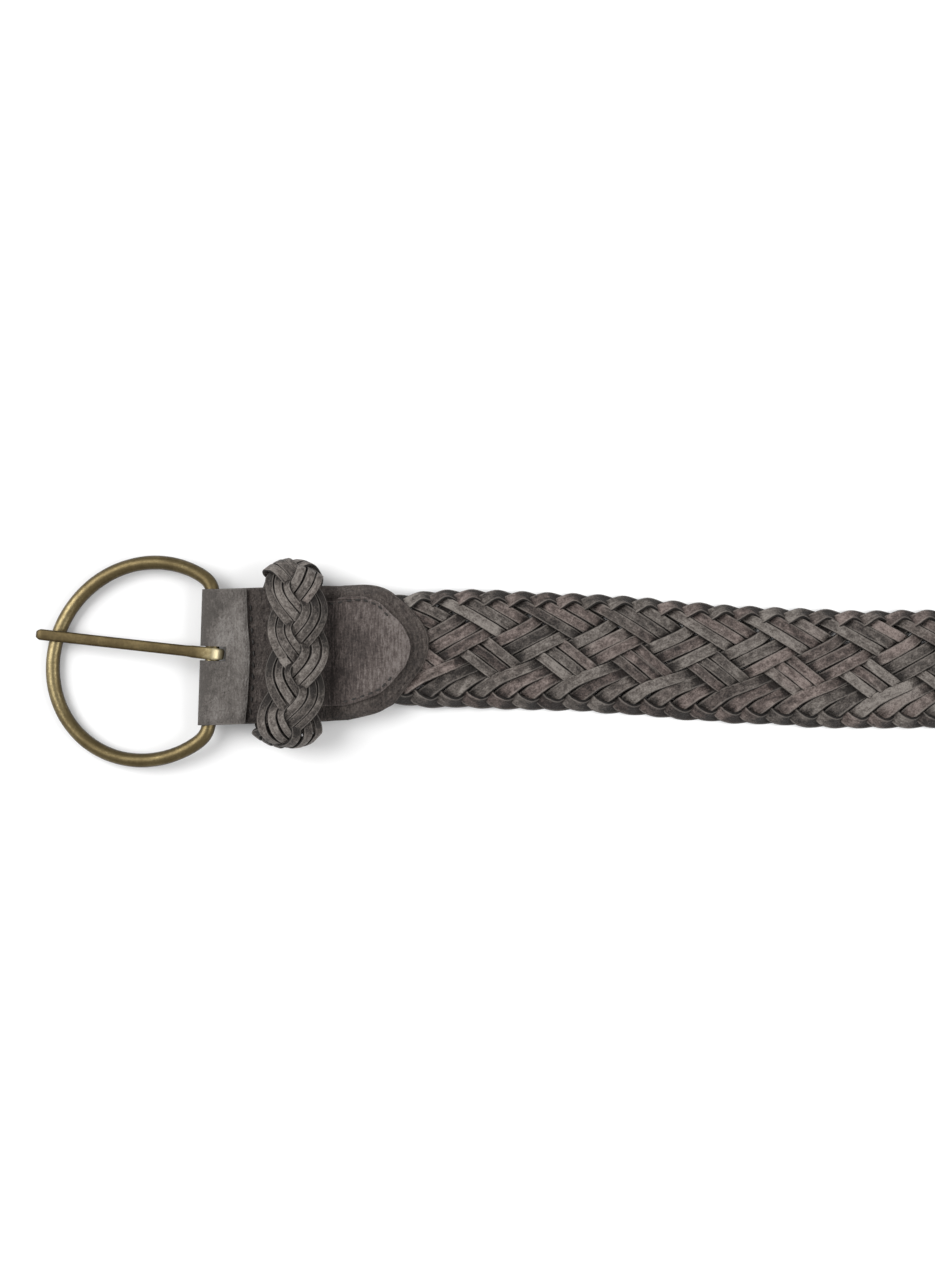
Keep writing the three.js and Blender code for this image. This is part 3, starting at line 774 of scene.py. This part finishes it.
class Finish:
    """A procedural material in the making."""

    def __init__(self, name):
        self.material = bpy.data.materials.new(name)
        self.material.use_nodes = True
        self.tree = self.material.node_tree
        self.shader = self.tree.nodes["Principled BSDF"]
        self.coordinates = self.tree.nodes.new("ShaderNodeTexCoord")

    def node(self, kind, values=None, **settings):
        made = self.tree.nodes.new(kind)
        for key, value in settings.items():
            setattr(made, key, value)
        for key, value in (values or {}).items():
            if isinstance(value, bpy.types.NodeSocket):
                self.tree.links.new(value, made.inputs[key])
            else:
                made.inputs[key].default_value = value
        return made

    def stretched(self, source, scale):
        mapping = self.node("ShaderNodeMapping", {"Vector": self.coordinates.outputs[source], "Scale": scale})
        return mapping.outputs["Vector"]

    def noise(self, vector, scale, detail=4.0, roughness=0.55):
        values = {"Vector": vector, "Scale": scale, "Detail": detail, "Roughness": roughness}
        return self.node("ShaderNodeTexNoise", values).outputs["Fac"]

    def sum(self, first, second, weight):
        """first + (second - 0.5) * weight"""
        centred = self.node("ShaderNodeMath", {0: second, 1: 0.5}, operation="SUBTRACT").outputs[0]
        values = {0: centred, 1: weight, 2: first}
        return self.node("ShaderNodeMath", values, operation="MULTIPLY_ADD").outputs[0]

    def ramp(self, factor, stops):
        made = self.node("ShaderNodeValToRGB", {"Fac": factor})
        elements = made.color_ramp.elements
        elements[0].position, elements[0].color = stops[0][0], (*stops[0][1], 1)
        elements[1].position, elements[1].color = stops[-1][0], (*stops[-1][1], 1)
        for position, colour in stops[1:-1]:
            elements.new(position).color = (*colour, 1)
        return made.outputs["Color"]

    def mix(self, factor, first, second):
        made = self.node("ShaderNodeMix", data_type="RGBA")
        for index, value in ((0, factor), (6, first), (7, second)):
            if isinstance(value, bpy.types.NodeSocket):
                self.tree.links.new(value, made.inputs[index])
            else:
                made.inputs[index].default_value = value
        return made.outputs[2]

    def rescale(self, value, low, high, new_low, new_high):
        values = {"Value": value, "From Min": low, "From Max": high, "To Min": new_low, "To Max": new_high}
        return self.node("ShaderNodeMapRange", values, interpolation_type="SMOOTHSTEP").outputs["Result"]

    def attribute(self, name):
        return self.node("ShaderNodeAttribute", attribute_name=name).outputs["Fac"]

    def bump(self, height, distance, strength):
        values = {"Height": height, "Distance": distance, "Strength": strength}
        made = self.node("ShaderNodeBump", values)
        self.tree.links.new(made.outputs["Normal"], self.shader.inputs["Normal"])

    def feed(self, socket, value):
        self.tree.links.new(value, self.shader.inputs[socket])


def grained_leather(name, shades, streaks, weights, rough, cut_and_gap_shade_weight, from_laces=False, tone=None):
    """Leather in shades from dark to light; streaks is the stretch of its fibre lines, and weights are how
    much its blotches, mottle, grain and fibres show."""
    finish = Finish(name)
    place = finish.coordinates.outputs["Object"]
    blotches = finish.noise(place, 85, 3)
    mottle = finish.noise(place, 420, 7, 0.72)
    grain = finish.noise(place, 1500, 3, 0.65)
    fibre = finish.noise(finish.stretched("UV" if from_laces else "Object", streaks), 1, 5, 0.7)
    level = finish.attribute("tone") if tone is None else tone
    for layer, weight in zip((blotches, mottle, grain, fibre), weights):
        level = finish.sum(level, layer, weight)
    colour = finish.ramp(level, shades)
    hue = finish.sum(finish.attribute("warmth"), finish.noise(place, 38, 2), 1.6)
    hue = finish.rescale(hue, 0.3, 0.8, 0, 0.6)
    mauve = finish.node("ShaderNodeMix", data_type="RGBA", blend_type="MULTIPLY")
    mauve.inputs[0].default_value = 1
    finish.tree.links.new(colour, mauve.inputs[6])
    mauve.inputs[7].default_value = (1.1, 0.92, 0.93, 1)
    colour = finish.mix(hue, colour, mauve.outputs[2])
    # Lighter band along each strip's edges, partly worn leather and partly a painted highlight
    rim = finish.sum(finish.attribute("edge"), mottle, 0.2)
    brighter = finish.rescale(rim, 0.6, 0.8, 0, 0.35)
    before_cut = finish.rescale(rim, 0.84, 0.92, 1, 0)
    wear_and_highlight = finish.node("ShaderNodeMath", {0: brighter, 1: before_cut}, operation="MULTIPLY").outputs[0]
    light = (*[channel * 1.15 for channel in shades[-1][1]], 1)
    colour = finish.mix(wear_and_highlight, colour, light)
    # Painted shade, partly the darker cut edge: the strip's sides darken to stand in for the shade in the
    # gaps between strips
    cut_and_gap_shade = finish.rescale(finish.attribute("edge"), 0.84, 0.97, 0, cut_and_gap_shade_weight)
    colour = finish.mix(cut_and_gap_shade, colour, (*[channel * 0.35 for channel in shades[0][1]], 1))
    finish.feed("Base Color", colour)
    finish.feed("Roughness", finish.rescale(mottle, 0.3, 0.7, rough - 0.08, rough + 0.1))
    finish.shader.inputs["Specular IOR Level"].default_value = 0.3
    pores = finish.node("ShaderNodeTexVoronoi", {"Vector": place, "Scale": 1300.0}, feature="F1")
    height = finish.sum(grain, pores.outputs["Distance"], 0.7)
    height = finish.sum(height, fibre, 1.6)
    height = finish.sum(height, mottle, 1.2)
    finish.bump(height, 0.0006, 0.7)
    return finish.material


def aged_brass():
    """Brass with a brown patina, lighter on the upper side partly as rubbed wear and partly as a painted
    highlight; a raised tone paints further highlights.
    """
    finish = Finish("aged brass")
    place = finish.coordinates.outputs["Object"]
    cloud = finish.noise(place, 160, 5, 0.6)
    speck = finish.noise(place, 1100, 4, 0.7)
    # Painted highlight, partly wear: the upper side of each part is lighter than its sides and underside
    upper = finish.rescale(finish.attribute("edge"), 0.3, 1, 0, 1)
    level = finish.sum(upper, finish.attribute("tone"), 1.0)
    level = finish.sum(level, cloud, 0.6)
    level = finish.sum(level, speck, 0.45)
    shades = [(0.08, (0.025, 0.017, 0.007)), (0.37, (0.075, 0.055, 0.024)),
              (0.58, (0.15, 0.115, 0.054)), (0.7, (0.27, 0.22, 0.115)), (0.95, (0.55, 0.48, 0.3))]
    halved = finish.node("ShaderNodeMath", {0: level, 1: 0.67}, operation="MULTIPLY").outputs[0]
    finish.feed("Base Color", finish.ramp(halved, shades))
    finish.feed("Roughness", finish.rescale(cloud, 0.3, 0.7, 0.46, 0.34))
    finish.shader.inputs["Metallic"].default_value = 0.85
    height = finish.sum(speck, cloud, 1.0)
    finish.bump(height, 0.0002, 0.3)
    return finish.material


def waxed_thread():
    finish = Finish("waxed thread")
    place = finish.coordinates.outputs["Object"]
    twist = finish.noise(place, 2600, 3, 0.6)
    shades = [(0.3, (0.006, 0.005, 0.004)), (0.75, (0.03, 0.025, 0.022))]
    finish.feed("Base Color", finish.ramp(twist, shades))
    finish.feed("Roughness", finish.rescale(twist, 0.3, 0.7, 0.5, 0.75))
    finish.bump(twist, 0.0002, 0.4)
    return finish.material


def floor_finish():
    finish = Finish("pale floor")
    grain = finish.noise(finish.coordinates.outputs["Object"], 30, 2)
    finish.feed("Base Color", finish.ramp(grain, [(0.0, (0.89, 0.89, 0.89)), (1.0, (0.91, 0.91, 0.91))]))
    finish.shader.inputs["Roughness"].default_value = 0.9
    finish.shader.inputs["Specular IOR Level"].default_value = 0.1
    return finish.material


# Studio


def set_floor():
    shape = bmesh.new()
    bmesh.ops.create_grid(shape, x_segments=1, y_segments=1, size=6)
    floor = add_piece("floor", shape, floor_finish())
    floor.location.z = -0.0001


def set_light(name, place, size, power):
    light = bpy.data.lights.new(name, "AREA")
    light.size = size
    light.energy = power
    lamp = bpy.data.objects.new(name, light)
    lamp.location = place
    aim = Vector((-0.36, 0, 0)) - Vector(place)
    lamp.rotation_euler = aim.to_track_quat("-Z", "Y").to_euler()
    bpy.context.scene.collection.objects.link(lamp)


def set_world():
    world = bpy.data.worlds.new("studio")
    world.use_nodes = True
    world.node_tree.nodes["Background"].inputs["Color"].default_value = (1, 1, 1, 1)
    world.node_tree.nodes["Background"].inputs["Strength"].default_value = 0.5
    bpy.context.scene.world = world


def set_camera():
    lens = bpy.data.cameras.new("camera")
    lens.sensor_fit = "VERTICAL"
    lens.sensor_height = 36
    lens.lens = 58.56
    camera = bpy.data.objects.new("camera", lens)
    camera.location = (-0.3667, 0.0088, 0.75)
    bpy.context.scene.collection.objects.link(camera)
    bpy.context.scene.camera = camera


set_camera()
set_world()
set_floor()
set_light("window", (-1.35, 0.4, 1.0), 1.1, 21)
set_light("fill", (0.6, -0.1, 0.9), 0.8, 8)
bpy.context.scene.view_settings.view_transform = "Standard"

braid_leather = grained_leather(
    "braid leather",
    [(0.0, (0.016, 0.013, 0.011)), (0.5, (0.088, 0.075, 0.066)), (1.0, (0.22, 0.197, 0.178))],
    (230, 12, 1), (0.8, 1.5, 1.2, 1.8), 0.6, 0.92, from_laces=True)
chape_leather = grained_leather(
    "chape leather",
    [(0.0, (0.07, 0.062, 0.056)), (0.5, (0.132, 0.118, 0.108)), (1.0, (0.21, 0.195, 0.182))],
    (1300, 260, 900), (1.7, 1.5, 1.2, 1.4), 0.62, 0.1)
cover_shades = [(0.0, (0.018, 0.014, 0.012)), (0.5, (0.063, 0.0505, 0.0445)), (1.0, (0.14, 0.121, 0.108))]
cover_weights = (0.9, 1.4, 1.2, 1.4)
cover_leather = grained_leather("cover leather", cover_shades, (1200, 300, 900), cover_weights, 0.6, 0.5)
tip_leather = grained_leather(
    "tip leather", cover_shades, (300, 1200, 900), cover_weights, 0.6, 0.5, tone=0.48)
patch_leather = grained_leather(
    "patch leather",
    [(0.0, (0.024, 0.018, 0.016)), (0.5, (0.083, 0.0655, 0.0595)), (1.0, (0.183, 0.158, 0.147))],
    (1600, 220, 900), (1.0, 1.0, 1.0, 2.0), 0.6, 0.3)
brass = aged_brass()
thread = waxed_thread()

plait_strap(braid_leather)
plait_keeper(braid_leather)
fold_chape(chape_leather)
cut_cover(cover_leather)
sew_patch(patch_leather)
bend_ring(brass)
forge_prong(brass)
sew_stitches(thread)
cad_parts["strap_tip"].data.materials.clear()
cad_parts["strap_tip"].data.materials.append(tip_leather)
